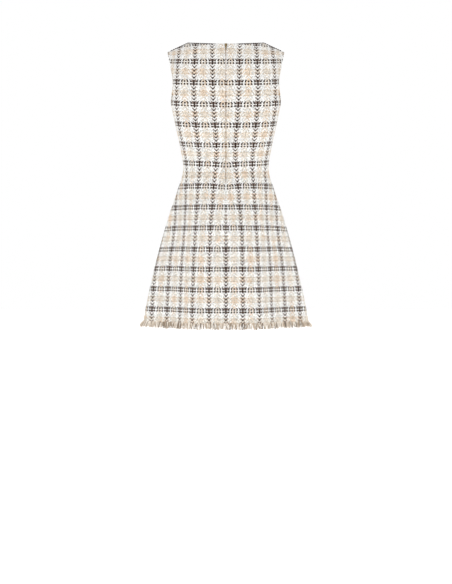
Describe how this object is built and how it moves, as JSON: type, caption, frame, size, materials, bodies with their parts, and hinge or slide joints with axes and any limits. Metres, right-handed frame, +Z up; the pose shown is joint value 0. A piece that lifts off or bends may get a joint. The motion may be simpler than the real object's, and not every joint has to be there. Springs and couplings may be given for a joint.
{
  "type": "sleeveless check tweed A-line mini dress",
  "caption": "Hollow sleeveless fit-and-flare tweed dress with straight bateau neck, centre-back concealed zip and frayed hem.",
  "frame": {"origin": "between the shoulders, 14 mm below the neck's shoulder ends, where the wearer carries the dress", "axes": "+Z up, the front faces -Y and the back faces +Y, the wearer's left is +X"},
  "size_m": [0.5294, 0.2309, 0.898],
  "materials": {
    "tweed": "ivory boucle tweed with a dark brown and tan windowpane check",
    "fringe_yarn": "unravelled tweed yarn",
    "zip_tape": "woven tan tape",
    "gold_metal": "polished light gold"
  },
  "bodies": {
    "dress": {"back_left": "tweed", "back_right": "tweed", "front": "tweed", "fringe_back_left": "fringe_yarn", "fringe_back_right": "fringe_yarn", "fringe_front": "fringe_yarn", "zip_tape": "zip_tape", "zip_slider": "gold_metal"},
    "pull": {"zip_pull": "gold_metal"}
  },
  "joints": [
    {"name": "zip_pull_hinge", "type": "hinge", "parent": "dress", "child": "pull", "pos_m": [0, 0.06826, 0.00756], "axis": [1, 0, 0], "range_deg": [0, 150]}
  ]
}
